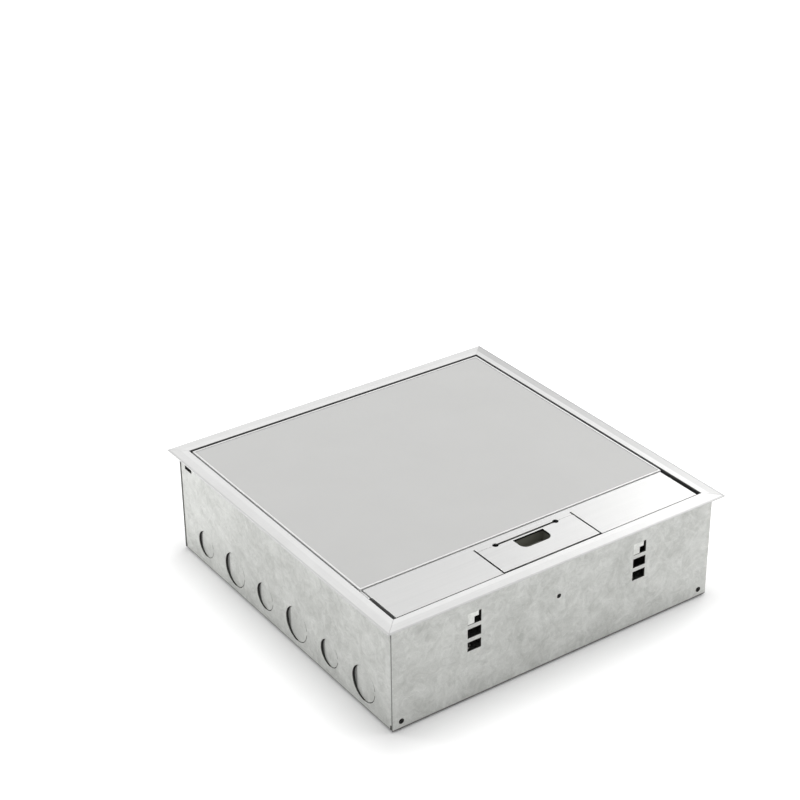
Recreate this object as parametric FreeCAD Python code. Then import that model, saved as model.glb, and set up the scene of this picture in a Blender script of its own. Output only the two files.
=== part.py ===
import FreeCAD, Part
import math
import os

Vector = FreeCAD.Vector

# Floor socket box for a raised floor.  Millimetres.
# X runs along the front wall, -Y is the front, +Z is up.
# The origin is the centre of the box's underside.

# --- folded steel body ---
body_width = 264.0
body_depth = 264.0
overall_height = 81.5
sheet = 1.2                 # thickness of every galvanised sheet
outer_bend = 2.0            # outside radius of the two long folds
edge_bend = 1.4             # outside radius of the upright folds
end_flange = 14.0           # width of the folded edges behind the end walls
fold_relief = 1.0           # slit between two folded edges
corner_notch = 4.6          # height of the notch at each lower corner
corner_slit = 14.0          # length of the tapered slit at each upper corner
wall_lift = 1.0             # the end walls start this far above the underside

# --- round knock-outs in the side walls ---
knockout_pitch = 40.0
knockout_height = 18.7
small_knockout = 20.5       # for a 20 mm conduit
large_knockout = 26.0       # for a 25 mm conduit
knockout_pairs = 3          # pairs of one small and one large on each side
knockout_groove = 0.5
knockout_step = 1.4         # how far each disc is pressed in at its rear edge
knockout_tie = 3.0

# --- slots and holes in the end walls ---
column_offset = 68.5        # from the middle to each column of slots
slot_width = 10.7
slot_height = 7.0
slot_pitch = 10.0
slot_low = 37.9             # lower edge of the lowest slot
hook_slot_extra = 1.7       # the top slot is taller by this
corner_hole = 4.0
corner_hole_inset = 6.8
corner_hole_height = 6.5
middle_hole = 3.3
middle_hole_height = 51.2
clip_slot_length = 9.3
clip_slot_height = 3.0
clip_slot_drop = 7.6        # below the walls' top edge
clip_slot_inset = 12.15     # from the rear face to the slot's middle

# --- trim ---
trim_overhang = 6.0
trim_inset = 5.5            # from the body's face in to the opening
flange_depth = 1.2
top_flat = 4.6
slope_drop = 0.4            # fall of the trim's slope
edge_roll = 1.3             # width of the rolled outer edge
edge_thickness = 0.5
leg_thickness = 1.8
leg_drop = 10.8
ledge_width = 8.5
ledge_thickness = 1.5
mitre_gap = 0.12
wall_seat = 0.4             # the walls' top edges sit this deep in the trim
wall_seat_gap = 0.2
inner_chamfer = 0.3
key_thickness = 1.0
key_arm = 18.0
key_height = 4.5
key_drop = 2.3
trim_screw_inset = 8.0
trim_screw_size = 3.0
trim_screw_head = 5.4
trim_screw_head_depth = 1.2
clip_sheet = 0.6
clip_margin = 0.9           # clip to the end of its slot
seal_thickness = 2.0
seal_inset = 0.5
seal_latch_gap = 6.0        # from the tongue's side to the front seal strips

# --- clearances ---
rest_clearance = 0.3        # moving piece above what it rests on
seat_clearance = 0.2        # loose piece in its seat
running_clearance = 0.05    # radial, a pin in its bore
screw_clearance = 0.05      # radial, a screw in its hole

# --- lid ---
side_gap = 1.5
rear_gap = 1.8
lid_drop = 0.3
lid_sheet = 1.2
cover_drop = 0.3
cover_thickness = 2.2
flap_bay = 38.9             # opening's front edge to the lid's front face
hinge_setback = 12.0        # hinge line to the lid's rear face
hinge_pin = 3.0
hinge_block_length = 12.0
hinge_block_depth = 18.0
ledge_end_gap = 8.3         # side ledges stop this far in front of the hinge line

# --- cable flap ---
flap_sheet = 1.5
flap_drop = 0.7
flap_rear_gap = 1.0
flap_front_gap = 1.2
flap_end_gap = 3.0
flap_axis_setback = 4.7
flap_pin = 2.0
flap_pin_inset = 2.0
ear_reach = 4.0             # lid ears go this far past the flap's hinge line
ear_cover = 1.3
lip_tail = 2.2
lip_round = 2.0
pad_thickness = 3.0
pad_side_gap = 1.5
pad_hinge_gap = 3.0

# --- latch tongue ---
tongue_pitch = 80.0         # between the middles of the two slits
slit = 1.3
root_setback = 7.4          # flap's rear edge to the tongue's bending line
root_split = 0.2
slit_tail = 3.2
tongue_setback = 0.9        # tongue's front face behind the flap's
bend_slot_length = 54.0
bend_slot_width = 1.7
bend_slot_end = 4.2
finger_width = 24.8
finger_depth = 11.8
finger_setback = 2.2
finger_round = 5.2
tongue_lip = 4.5
hook_sheet = 1.2
hook_width = 36.0
hook_foot = 9.0
hook_reach = 0.3            # nose in front of the flap's front face
hook_gap = 0.3
catch_width = 40.0
catch_thickness = 0.5
catch_height = 2.0
catch_gap = 0.4             # above the latch nose
cup_wall = 1.0
cup_depth = 8.5
cup_margin = 1.4
cup_rim = 1.0
cup_rim_reach = 0.6

# --- inside ---
hanger_width = 62.0
hanger_leg = 18.0
hanger_foot = 12.8
hanger_drop = 26.7          # foot below the top band
hanger_band = 10.0
band_cover = 0.5            # band above the top slot
tab_share = 5.4             # width of the hook tab in the top slot
tab_top = 3.7               # height of the tab's upper arm
tab_end_gap = 1.9           # tab's upper arm to the slot's end
tab_recess = 0.2
window_margin = 1.5
plate_width = 111.0
plate_sheet = 1.5
plate_end_gap = 3.8
plate_screw = 4.0
plate_screw_head = 7.6
plate_screw_head_height = 2.4
plate_screw_length = 9.0
plate_screw_setback = 4.5   # from the plate's end
outlet_length = 146.0
outlet_width = 86.0
outlet_thickness = 4.0
outlet_round = 3.0
outlet_offset = 30.0        # outlets sit this far behind the middle
outlet_body_gap = 7.3       # from an outlet screw's middle to the outlet's body
outlet_body_width = 66.0
outlet_body_depth = 19.0
outlet_body_play = 1.0      # round the body in the plate's opening
outlet_pitch = 73.0
pin_spacing = 22.2
earth_slot_length = 8.8
pin_slot_length = 7.2
pin_slot_width = 4.8
pin_slot_depth = 19.0
outlet_screw = 3.5
outlet_screw_head = 6.8
outlet_screw_head_height = 1.8
outlet_screw_length = 16.0
outlet_screw_pitch = 120.6
jack_width = 15.0
jack_depth = 17.0
jack_height = 20.0
jack_pitch = 25.0
jack_count = 4
jack_sleeve = 2.0
jack_sleeve_depth = 6.0
port_width = 11.8
port_depth = 8.4
port_height = 14.0
divider_offset = 6.0
divider_height = 62.0
divider_foot = 14.0
divider_flange = 14.0
rivet = 4.0
rivet_head = 7.0
rivet_head_height = 1.2
rivet_offset = 80.0
stud = 4.0
stud_length = 16.0
stud_flange = 8.0
stud_flange_height = 0.8
stud_inset = 10.0
stud_setback = 60.0
nut_flats = 7.0
nut_height = 3.2
nut_gap = 1.4
washer_outer = 9.0
washer_thickness = 0.8

# --- levels and faces that several pieces share ---
half_width = body_width / 2
half_depth = body_depth / 2
wall_top = overall_height - flange_depth
wall_edge = wall_top + wall_seat
clip_slot_top = wall_top - clip_slot_drop
inner_x = half_width - sheet
inner_y = half_depth - sheet
open_x = half_width - trim_inset
open_y = half_depth - trim_inset
ledge_bottom = wall_top - leg_drop
ledge_top = ledge_bottom + ledge_thickness
seal_top = ledge_top + seal_thickness
lid_bottom = seal_top + rest_clearance
lid_floor = lid_bottom + lid_sheet
lid_top = overall_height - lid_drop
cover_top = lid_top - cover_drop
core_top = cover_top - cover_thickness
lid_x = open_x - side_gap
lid_rear = open_y - rear_gap
lid_front = -open_y + flap_bay
hinge_y = lid_rear - hinge_setback
hinge_z = (lid_floor + core_top) / 2
ledge_end = hinge_y - ledge_end_gap
flap_top = overall_height - flap_drop
flap_under = flap_top - flap_sheet
flap_rear = lid_front - flap_rear_gap
flap_front = -open_y + flap_front_gap
tongue_front = flap_front + tongue_setback
flap_x = open_x - flap_end_gap
flap_axis_y = flap_rear - flap_axis_setback
flap_axis_z = flap_under - flap_pin / 2
root_y = flap_rear - root_setback
band_top = slot_low + 2 * slot_pitch + slot_height + hook_slot_extra + band_cover
foot_top = band_top - hanger_band - hanger_drop + sheet
plate_bottom = foot_top
plate_top = plate_bottom + plate_sheet
plate_half_length = half_depth - sheet - plate_end_gap
plate_screw_y = plate_half_length - plate_screw_setback
outlet_top = plate_top + outlet_thickness
outlet_body_length = outlet_screw_pitch - 2 * outlet_body_gap


def block(x0, x1, y0, y1, z0, z1):
    """A box between two corners, given in any order."""
    corner = Vector(min(x0, x1), min(y0, y1), min(z0, z1))
    return Part.makeBox(abs(x1 - x0), abs(y1 - y0), abs(z1 - z0), corner)


def rod(radius, start, end):
    """A round bar between two points."""
    line = Vector(*end) - Vector(*start)
    return Part.makeCylinder(radius, line.Length, Vector(*start), line)


def prism(points, direction):
    """A flat polygon pushed along a direction."""
    corners = [Vector(*point) for point in points]
    corners.append(corners[0])
    return Part.Face(Part.makePolygon(corners)).extrude(Vector(*direction))


def upright_edges(shape, test):
    """The edges parallel to Z whose middle passes the test."""
    found = []
    for edge in shape.Edges:
        if len(edge.Vertexes) < 2:
            continue
        a = edge.Vertexes[0].Point
        b = edge.Vertexes[1].Point
        if abs(a.x - b.x) < 1e-6 and abs(a.y - b.y) < 1e-6 and test(a):
            found.append(edge)
    return found


def long_edges(shape, test):
    """The edges parallel to Y whose first point passes the test."""
    found = []
    for edge in shape.Edges:
        a = edge.Vertexes[0].Point
        b = edge.Vertexes[-1].Point
        if abs(a.x - b.x) < 1e-6 and abs(a.z - b.z) < 1e-6 and test(a):
            found.append(edge)
    return found


def rounded_block(x0, x1, y0, y1, z0, z1, radius):
    """A box with its four upright edges rounded."""
    shape = block(x0, x1, y0, y1, z0, z1)
    return shape.makeFillet(radius, upright_edges(shape, lambda point: True))


def turned(shape):
    """A copy turned half a turn about the upright axis."""
    copy = shape.copy()
    copy.rotate(Vector(0, 0, 0), Vector(0, 0, 1), 180)
    return copy


def mirrored_x(shape):
    return shape.mirror(Vector(0, 0, 0), Vector(1, 0, 0))


def mirrored_y(shape):
    return shape.mirror(Vector(0, 0, 0), Vector(0, 1, 0))


def save(name, solids):
    """One sub-part, as one solid or a group of separate solids."""
    if not isinstance(solids, list):
        solids = [solids]
    clean = []
    for shape in solids:
        clean.extend(shape.removeSplitter().Solids)
    result = clean[0] if len(clean) == 1 else Part.makeCompound(clean)
    result.exportStep(os.path.join("parts", name + ".step"))


# ---------------------------------------------------------------- body

def knockout_spots():
    """Y and radius of each knock-out, small ones first from the rear."""
    spots = []
    count = 2 * knockout_pairs
    for index in range(count):
        y = (count - 1 - 2 * index) * knockout_pitch / 2
        size = small_knockout if index % 2 == 0 else large_knockout
        spots.append((y, size / 2))
    return spots


def side_cuts(side):
    """What is cut from one side wall, and the discs that stay in it."""
    outer = side * half_width
    inner = side * inner_x
    cuts = []
    discs = []
    for y, radius in knockout_spots():
        z = knockout_height
        cuts.append(rod(radius, (outer + side, y, z), (inner - side, y, z)))
        disc = rod(radius - knockout_groove, (outer, y, z), (inner, y, z))
        front = y - radius + knockout_groove
        tilt = math.degrees(math.asin(knockout_step / (2 * radius)))
        disc.rotate(Vector(outer, front, z), Vector(0, 0, 1), side * tilt)
        discs.append(disc)
        discs.append(block(outer, inner, front - 2 * knockout_groove, front + knockout_groove,
                           z - knockout_tie / 2, z + knockout_tie / 2))
    slot_y = half_depth - clip_slot_inset
    cuts.append(block(outer + side, inner - side, slot_y - clip_slot_length / 2,
                      slot_y + clip_slot_length / 2, clip_slot_top - clip_slot_height, clip_slot_top))
    return cuts, discs


def body_tray():
    """Base and side walls in one folded sheet, with narrow folded edges at both ends."""
    shape = block(-half_width, half_width, -inner_y, inner_y, 0, wall_edge)
    shape = shape.makeFillet(outer_bend, long_edges(shape, lambda point: point.z < 1e-6))
    shape = shape.makeFillet(edge_bend, upright_edges(shape, lambda point: True))
    room = block(-inner_x, inner_x, -inner_y + sheet, inner_y - sheet, sheet, wall_edge + 1)
    inner_bend = outer_bend - sheet
    room = room.makeFillet(inner_bend, long_edges(room, lambda point: abs(point.z - sheet) < 1e-6))
    shape = shape.cut(room)
    window_x = inner_x - end_flange
    cuts = []
    slit_low = wall_top - corner_slit
    for end in (-1, 1):
        near = end * (inner_y - sheet - 0.2)
        far = end * (inner_y + 1)
        cuts.append(block(-window_x, window_x, near, far, sheet + end_flange, wall_edge + 1))
        for side in (-1, 1):
            cuts.append(block(side * window_x, side * (window_x + fold_relief), near, far,
                              outer_bend, wall_edge + 1))
            cuts.append(block(side * (inner_x - 1), side * (half_width + 1), near, far, -1, corner_notch))
            cuts.append(block(side * window_x, side * (inner_x + 0.2), near, far, slit_low, wall_edge + 1))
            edge = end * inner_y
            back = end * (inner_y - sheet)
            wedge = [(side * (inner_x - 1), edge, slit_low), (side * (inner_x - 1), edge, wall_edge + 1),
                     (side * (inner_x - 1), back, wall_edge + 1)]
            cuts.append(prism(wedge, (side * (sheet + 2), 0, 0)))
            hole_x = side * (half_width - corner_hole_inset)
            cuts.append(rod(corner_hole / 2, (hole_x, near, corner_hole_height),
                            (hole_x, far, corner_hole_height)))
    for y in (-rivet_offset, rivet_offset):
        cuts.append(rod(rivet / 2 + screw_clearance, (divider_x(), y, -1), (divider_x(), y, sheet + 1)))
    discs = []
    for side in (-1, 1):
        more_cuts, more_discs = side_cuts(side)
        cuts.extend(more_cuts)
        discs.extend(more_discs)
    shape = shape.cut(Part.makeCompound(cuts))
    return shape.fuse(discs)


def divider_x():
    """X of the rivets in the middle of the divider's foot."""
    return divider_offset - divider_foot / 2


def front_wall():
    """Flat end wall with two columns of three slots."""
    shape = block(-half_width, half_width, -half_depth, -inner_y, wall_lift, wall_edge)
    near = -half_depth - 1
    far = -inner_y + 1
    cuts = []
    for side in (-1, 1):
        x = side * column_offset
        for row in range(3):
            z = slot_low + row * slot_pitch
            height = slot_height + (hook_slot_extra if row == 2 else 0)
            cuts.append(block(x - slot_width / 2, x + slot_width / 2, near, far, z, z + height))
        hole_x = side * (half_width - corner_hole_inset)
        cuts.append(rod(corner_hole / 2, (hole_x, near, corner_hole_height),
                        (hole_x, far, corner_hole_height)))
    cuts.append(rod(middle_hole / 2, (0, near, middle_hole_height), (0, far, middle_hole_height)))
    return shape.cut(Part.makeCompound(cuts))


# ---------------------------------------------------------------- trim

def trim_member(half_along, half_across, with_ledge):
    """One mitred length of the trim, on the -Y side of an opening."""
    out = trim_inset + trim_overhang
    seat = trim_inset + wall_seat_gap
    profile = [(inner_chamfer, overall_height), (top_flat, overall_height),
               (out - edge_roll, overall_height - slope_drop), (out, wall_top + edge_thickness),
               (out, wall_top), (seat, wall_top), (seat, wall_edge),
               (leg_thickness, wall_edge), (leg_thickness, ledge_bottom)]
    if with_ledge:
        profile += [(-ledge_width, ledge_bottom), (-ledge_width, ledge_top), (0, ledge_top)]
    else:
        profile += [(0, ledge_bottom)]
    profile += [(0, overall_height - inner_chamfer)]
    reach = half_along + out
    points = [(-reach, -half_across - u, z) for u, z in profile]
    bar = prism(points, (2 * reach, 0, 0))
    gap = mitre_gap / math.sqrt(2)
    inward = ledge_width + 1
    outer = half_along + out + 1 - gap
    inner = half_along - inward - gap
    far = -half_across - out - 1
    near = -half_across + inward
    plan = [(-outer, far, 0), (outer, far, 0), (inner, near, 0), (-inner, near, 0)]
    return bar.common(prism(plan, (0, 0, overall_height + 1)))


def key_low():
    return wall_top - key_drop - key_height


def trim_screw_holes(member, sign):
    """Countersunk holes through the leg near both ends of a front or rear member."""
    cuts = []
    for side in (-1, 1):
        cuts.append(trim_screw(side, sign, screw_clearance))
    return member.cut(Part.makeCompound(cuts))


def trim_screw(side, sign, extra):
    """A countersunk screw from the opening into the corner key."""
    x = side * (open_x - trim_screw_inset)
    z = key_low() + key_height / 2
    face = sign * open_y
    root = sign * (open_y + leg_thickness + key_thickness)
    shank = rod(trim_screw_size / 2 + extra, (x, face, z), (x, root, z))
    head = Part.makeCone(trim_screw_head / 2 + extra, trim_screw_size / 2 + extra, trim_screw_head_depth,
                         Vector(x, face, z), Vector(0, sign, 0))
    return shank.fuse(head)


def corner_key(side, end):
    """An L-shaped key behind the legs of two trim members."""
    x0 = open_x + leg_thickness
    y0 = open_y + leg_thickness
    low = key_low()
    high = low + key_height
    along_x = block(x0 - key_arm, x0 + key_thickness, y0, y0 + key_thickness, low, high)
    along_y = block(x0, x0 + key_thickness, y0 - key_arm, y0 + key_thickness, low, high)
    key = along_x.fuse(along_y)
    hole_x = open_x - trim_screw_inset
    hole_z = low + key_height / 2
    hole = rod(trim_screw_size / 2 + screw_clearance, (hole_x, open_y, hole_z),
               (hole_x, y0 + key_thickness + 1, hole_z))
    key = key.cut(hole)
    if side < 0:
        key = mirrored_x(key)
    if end < 0:
        key = mirrored_y(key)
    return key


def trim_side(side):
    """Side member: the ledge stops in front of the hinge line, and the hinge pin has its bore."""
    member = trim_member(open_y, open_x, True)
    member.rotate(Vector(0, 0, 0), Vector(0, 0, 1), -90 if side < 0 else 90)
    cut_y = ledge_end
    relief = block(side * (open_x - ledge_width - 1), side * open_x, cut_y, open_y + 1,
                   ledge_bottom - 1, ledge_top + 1)
    bore = rod(hinge_pin / 2 + running_clearance, (side * (open_x - 1), hinge_y, hinge_z),
               (side * (open_x + leg_thickness + 1), hinge_y, hinge_z))
    return member.cut(Part.makeCompound([relief, bore]))


def trim_clip(side):
    """Spring clip behind the leg, with its barb in the side wall's slot."""
    x0 = open_x + leg_thickness
    middle = half_depth - clip_slot_inset
    half = clip_slot_length / 2 - clip_margin
    barb_top = clip_slot_top - rest_clearance
    plate = block(x0, x0 + clip_sheet, middle - half, middle + half, clip_slot_top - clip_slot_height,
                  key_low() - rest_clearance)
    barb = block(x0 + clip_sheet, half_width - sheet / 2, middle - half, middle + half,
                 barb_top - clip_sheet, barb_top)
    clip = plate.fuse(barb)
    return mirrored_x(clip) if side < 0 else clip


def seal_strip(side):
    """Soft strip on the side ledge and the front ledge, left out under the latch."""
    outer_x = open_x - seal_inset
    inner = open_x - ledge_width + seal_inset
    front = -open_y + seal_inset
    back = -open_y + ledge_width - seal_inset
    along_y = block(inner, outer_x, front, ledge_end - seal_inset, ledge_top, seal_top)
    start = tongue_pitch / 2 + seal_latch_gap
    along_x = block(start, outer_x, front, back, ledge_top, seal_top)
    strip = along_y.fuse(along_x)
    return mirrored_x(strip) if side < 0 else strip


def catch_plate():
    """Thin striker on the front leg, above the latch nose."""
    low = hook_top() + catch_gap
    return block(-catch_width / 2, catch_width / 2, -open_y, -open_y + catch_thickness,
                 low, low + catch_height)


# ---------------------------------------------------------------- lid

def lid_tray():
    """Shallow folded tray with an upturned rim, and two ears that carry the cable flap."""
    shape = block(-lid_x, lid_x, lid_front, lid_rear, lid_bottom, lid_top)
    shape = shape.cut(block(-lid_x + lid_sheet, lid_x - lid_sheet, lid_front + lid_sheet,
                            lid_rear - lid_sheet, lid_floor, lid_top + 1))
    ears = []
    cuts = []
    for side in (-1, 1):
        outer = side * lid_x
        inner = side * (lid_x - lid_sheet)
        ears.append(block(outer, inner, flap_axis_y - ear_reach, lid_front + lid_sheet, lid_bottom,
                          flap_axis_z + flap_pin / 2 + ear_cover - 1))
        cuts.append(rod(flap_pin / 2 + running_clearance, (side * (lid_x + 1), flap_axis_y, flap_axis_z),
                        (side * (lid_x - lid_sheet - 1), flap_axis_y, flap_axis_z)))
        cuts.append(rod(hinge_pin / 2 + running_clearance, (side * (lid_x + 1), hinge_y, hinge_z),
                        (side * (lid_x - lid_sheet - 1), hinge_y, hinge_z)))
    return shape.fuse(ears).cut(Part.makeCompound(cuts))


def block_inner_x():
    return lid_x - lid_sheet - hinge_block_length


def lid_core():
    """Stiff board inside the lid, cut away round the hinge blocks."""
    x = lid_x - lid_sheet - seat_clearance
    front = lid_front + lid_sheet + seat_clearance
    rear = lid_rear - lid_sheet - seat_clearance
    shape = block(-x, x, front, rear, lid_floor, core_top)
    for side in (-1, 1):
        shape = shape.cut(block(side * (block_inner_x() - seat_clearance), side * (x + 1),
                                hinge_y - hinge_block_depth / 2 - seat_clearance, rear + 1,
                                lid_floor - 1, core_top + 1))
    return shape


def lid_cover():
    """Flat cover plate lying in the rim."""
    x = lid_x - lid_sheet - seat_clearance
    front = lid_front + lid_sheet + seat_clearance
    rear = lid_rear - lid_sheet - seat_clearance
    return block(-x, x, front, rear, core_top, cover_top)


def hinge_block(side):
    """Block in the lid's rear corner that holds the hinge pin."""
    outer = lid_x - lid_sheet
    shape = block(side * block_inner_x(), side * outer, hinge_y - hinge_block_depth / 2,
                  hinge_y + hinge_block_depth / 2, lid_floor, core_top)
    return shape.cut(rod(hinge_pin / 2 + running_clearance, (side * (block_inner_x() - 1), hinge_y, hinge_z),
                         (side * (outer + 1), hinge_y, hinge_z)))


def hinge_pin_solid(side):
    return rod(hinge_pin / 2, (side * block_inner_x(), hinge_y, hinge_z),
               (side * (open_x + leg_thickness - rest_clearance), hinge_y, hinge_z))


def flap_pin_solid(side):
    return rod(flap_pin / 2, (side * (flap_x - flap_sheet - flap_pin_inset), flap_axis_y, flap_axis_z),
               (side * lid_x, flap_axis_y, flap_axis_z))


# ---------------------------------------------------------------- cable flap and latch

def bend_slot():
    """Narrow slot with round ends along the tongue's bending line."""
    half = bend_slot_length / 2
    low = flap_under - 1
    high = flap_top + 1
    shape = block(-half, half, root_y - bend_slot_width / 2, root_y + bend_slot_width / 2, low, high)
    ends = []
    for side in (-1, 1):
        x = side * (half - bend_slot_end / 2)
        ends.append(rod(bend_slot_end / 2, (x, root_y, low), (x, root_y, high)))
    return shape.fuse(ends)


def end_lip(side):
    """Turned-down end of the flap, rounded behind the hinge pin."""
    outer = side * flap_x
    inner = side * (flap_x - flap_sheet)
    shape = block(inner, outer, flap_front, flap_axis_y + lip_tail, lid_bottom, flap_under)
    corner = []
    for edge in shape.Edges:
        a = edge.Vertexes[0].Point
        b = edge.Vertexes[-1].Point
        low = abs(a.z - lid_bottom) < 1e-6 and abs(b.z - lid_bottom) < 1e-6
        rear = abs(a.y - flap_axis_y - lip_tail) < 1e-6 and abs(b.y - flap_axis_y - lip_tail) < 1e-6
        if low and rear:
            corner.append(edge)
    return shape.makeFillet(lip_round, corner)


def cable_flap():
    """Brushed strip with turned-down front and ends, cut out round the latch tongue."""
    plate = block(-flap_x, flap_x, flap_front, flap_rear, flap_under, flap_top)
    lip = block(-flap_x, flap_x, flap_front, flap_front + flap_sheet, lid_bottom, flap_under)
    shape = plate.fuse([lip, end_lip(-1), end_lip(1)])
    half = tongue_pitch / 2 + slit / 2
    cuts = [block(-half, half, flap_front - 1, root_y + root_split / 2, lid_bottom - 1, flap_top + 1)]
    for side in (-1, 1):
        x = side * tongue_pitch / 2
        cuts.append(block(x - slit / 2, x + slit / 2, flap_front - 1, root_y + slit_tail,
                          lid_bottom - 1, flap_top + 1))
        cuts.append(rod(flap_pin / 2 + running_clearance,
                        (side * (flap_x - flap_sheet - 1), flap_axis_y, flap_axis_z),
                        (side * (flap_x + 1), flap_axis_y, flap_axis_z)))
    cuts.append(bend_slot())
    return shape.cut(Part.makeCompound(cuts))


def flap_pad(side):
    """Soft pad under the flap that grips the cables."""
    inner = tongue_pitch / 2 + slit / 2 + pad_side_gap
    outer = flap_x - flap_sheet - rest_clearance
    return block(side * inner, side * outer, flap_front + flap_sheet + rest_clearance,
                 flap_axis_y - flap_pin / 2 - pad_hinge_gap,
                 flap_under - pad_thickness, flap_under)


def finger_shape(grow, low, high):
    """The D-shaped finger opening, flat towards the rear."""
    rear = root_y - finger_setback + grow
    front = root_y - finger_setback - finger_depth - grow
    half = finger_width / 2 + grow
    shape = block(-half, half, front, rear, low, high)
    return shape.makeFillet(finger_round + grow, upright_edges(shape, lambda point: point.y < rear - 0.01))


def latch_tongue():
    """The sprung middle of the flap, pressed down to free the latch."""
    half = tongue_pitch / 2 - slit / 2
    plate = block(-half, half, tongue_front, root_y - root_split / 2, flap_under, flap_top)
    lip = block(-half, half, tongue_front, tongue_front + flap_sheet, flap_top - tongue_lip, flap_under)
    shape = plate.fuse(lip)
    hole = finger_shape(0, flap_under - 1, flap_top + 1)
    return shape.cut(Part.makeCompound([hole, bend_slot()]))


def hook_top():
    """Level of the top of the latch nose, just under the tongue's lip."""
    return flap_top - tongue_lip - hook_gap


def latch_hook():
    """Folded hook under the tongue, with its nose in front."""
    half = hook_width / 2
    back = tongue_front + flap_sheet
    top = block(-half, half, back, back + hook_foot, flap_under - hook_sheet, flap_under)
    leg = block(-half, half, back, back + hook_sheet, hook_top() - hook_sheet, flap_under)
    nose = block(-half, half, flap_front - hook_reach, back, hook_top() - hook_sheet, hook_top())
    return top.fuse([leg, nose])


def finger_cup():
    """Dark cup under the finger opening."""
    floor = flap_under - cup_depth
    outer = finger_shape(cup_margin, floor, flap_under)
    rim = finger_shape(cup_margin + cup_rim_reach, flap_under - cup_rim, flap_under)
    inner = finger_shape(cup_margin - cup_wall, floor + cup_wall, flap_under + 1)
    return outer.fuse(rim).cut(inner)


# ---------------------------------------------------------------- inside

def hanger(x):
    """Folded bracket behind the front wall whose tab sits in the top slot."""
    back = -inner_y + sheet
    half = hanger_width / 2
    band_low = band_top - hanger_band
    foot_low = foot_top - sheet
    band = block(x - half, x + half, -inner_y, back, band_low, band_top)
    slot_left = x - slot_width / 2
    slot_right = x + slot_width / 2
    top_slot_low = slot_low + 2 * slot_pitch
    top_slot_high = top_slot_low + slot_height + hook_slot_extra
    window = block(slot_left + tab_share, slot_right + window_margin, -inner_y - 1, back + 1,
                   band_low - 1, top_slot_high - tab_top)
    pieces = []
    for side in (-1, 1):
        pieces.append(block(x + side * half, x + side * (half - hanger_leg), -inner_y, back,
                            foot_low, band_low))
    pieces.append(block(x - half, x + half, -inner_y, -inner_y + hanger_foot, foot_low, foot_top))
    face = -half_depth + tab_recess
    pieces.append(block(slot_left + seat_clearance, slot_left + tab_share, face, -inner_y,
                        top_slot_low + seat_clearance, top_slot_high - seat_clearance))
    arm_end = slot_right - tab_end_gap
    pieces.append(block(slot_left + seat_clearance, arm_end, face, -inner_y,
                        top_slot_high - tab_top, top_slot_high - seat_clearance))
    corner = block(arm_end, slot_right + window_margin, -inner_y - 1, back + 1,
                   top_slot_high - tab_top - 1, top_slot_high)
    shape = band.cut(Part.makeCompound([window, corner])).fuse(pieces)
    hole = rod(plate_screw / 2 + screw_clearance, (x, -plate_screw_y, foot_low - 1),
               (x, -plate_screw_y, foot_top + 1))
    return shape.cut(hole)


def accessory_plate(side):
    """Steel plate that carries one outlet, screwed to a front and a rear hanger."""
    x = side * column_offset
    half = plate_width / 2
    shape = block(x - half, x + half, -plate_half_length, plate_half_length, plate_bottom, plate_top)
    cuts = []
    body_x = outlet_body_width / 2 + outlet_body_play
    body_y = outlet_body_length / 2 + outlet_body_play
    for end in (-1, 1):
        cuts.append(rod(plate_screw / 2 + screw_clearance, (x, end * plate_screw_y, plate_bottom - 1),
                        (x, end * plate_screw_y, plate_top + 1)))
        y = outlet_offset + end * outlet_screw_pitch / 2
        cuts.append(rod(outlet_screw / 2 + screw_clearance, (x, y, plate_bottom - 1), (x, y, plate_top + 1)))
    cuts.append(block(x - body_x, x + body_x, outlet_offset - body_y, outlet_offset + body_y,
                      plate_bottom - 1, plate_top + 1))
    return shape.cut(Part.makeCompound(cuts))


def plate_screw_solid(x, y):
    """Pan-head screw through a plate into the hanger's foot."""
    shank = rod(plate_screw / 2, (x, y, plate_top - plate_screw_length), (x, y, plate_top))
    head = rod(plate_screw_head / 2, (x, y, plate_top), (x, y, plate_top + plate_screw_head_height))
    rim = [edge for edge in head.Edges if edge.Vertexes[0].Point.z > plate_top + 0.01 and edge.Closed]
    head = head.makeFillet(plate_screw_head_height * 0.4, rim)
    cross = cross_recess(x, y, plate_top + plate_screw_head_height, plate_screw_head)
    return shank.fuse(head).cut(cross)


def cross_recess(x, y, top, head):
    """A cross-shaped driver recess."""
    arm = head * 0.3
    width = head * 0.07
    depth = head * 0.16
    first = block(x - arm, x + arm, y - width, y + width, top - depth, top + 1)
    second = block(x - width, x + width, y - arm, y + arm, top - depth, top + 1)
    return first.fuse(second)


def outlet_screw_solid(x, y):
    """Screw through an outlet's face into the plate."""
    low = outlet_top - outlet_screw_length
    shank = rod(outlet_screw / 2, (x, y, low), (x, y, outlet_top - outlet_screw_head_height))
    head = rod(outlet_screw_head / 2, (x, y, outlet_top - outlet_screw_head_height), (x, y, outlet_top))
    return shank.fuse(head).cut(cross_recess(x, y, outlet_top, outlet_screw_head))


def outlet_face(x):
    """Rounded plastic face with two counterbored screw holes."""
    y0 = outlet_offset - outlet_length / 2
    y1 = outlet_offset + outlet_length / 2
    shape = rounded_block(x - outlet_width / 2, x + outlet_width / 2, y0, y1, plate_top, outlet_top,
                          outlet_round)
    top_edges = []
    for edge in shape.Edges:
        if min(vertex.Point.z for vertex in edge.Vertexes) > outlet_top - 1e-6:
            top_edges.append(edge)
    shape = shape.makeFillet(outlet_thickness * 0.3, top_edges)
    cuts = []
    for end in (-1, 1):
        y = outlet_offset + end * outlet_screw_pitch / 2
        cuts.append(rod(outlet_screw / 2 + screw_clearance, (x, y, plate_top - 1), (x, y, outlet_top)))
        cuts.append(rod(outlet_screw_head / 2 + seat_clearance,
                        (x, y, outlet_top - outlet_screw_head_height), (x, y, outlet_top + 1)))
    return shape.cut(Part.makeCompound(cuts))


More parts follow.
